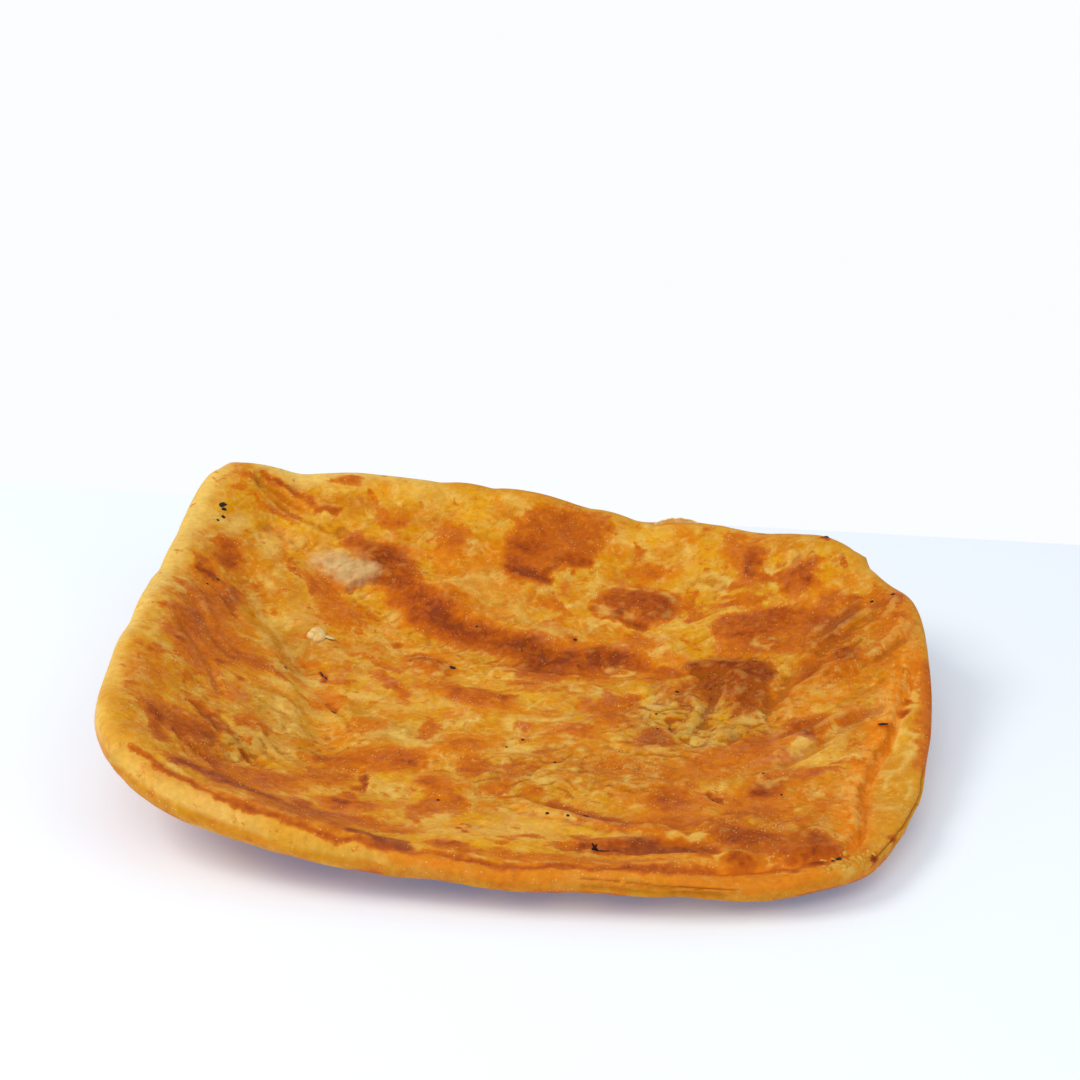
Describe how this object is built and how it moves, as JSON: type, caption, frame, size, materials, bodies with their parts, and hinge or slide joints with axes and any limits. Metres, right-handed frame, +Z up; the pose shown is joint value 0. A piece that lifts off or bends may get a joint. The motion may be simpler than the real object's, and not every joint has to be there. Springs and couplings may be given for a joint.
{
  "type": "msemen",
  "caption": "Square pan-baked flatbread of folded oiled dough layers, lying as a shallow dish with a thick rounded rim curled up highest at one corner.",
  "frame": {"origin": "under the middle of the bread, on the surface that it rests on", "axes": "+Z up; +X to the right along the longest side; the highest corner is at -X +Y"},
  "size_m": [0.197, 0.1683, 0.04],
  "materials": {
    "browned_crust": "golden fried dough with a thin sheen of oil, orange-brown toasted patches and a pale yellow rim"
  },
  "bodies": {
    "root": {"msemen": "browned_crust"}
  },
  "joints": []
}
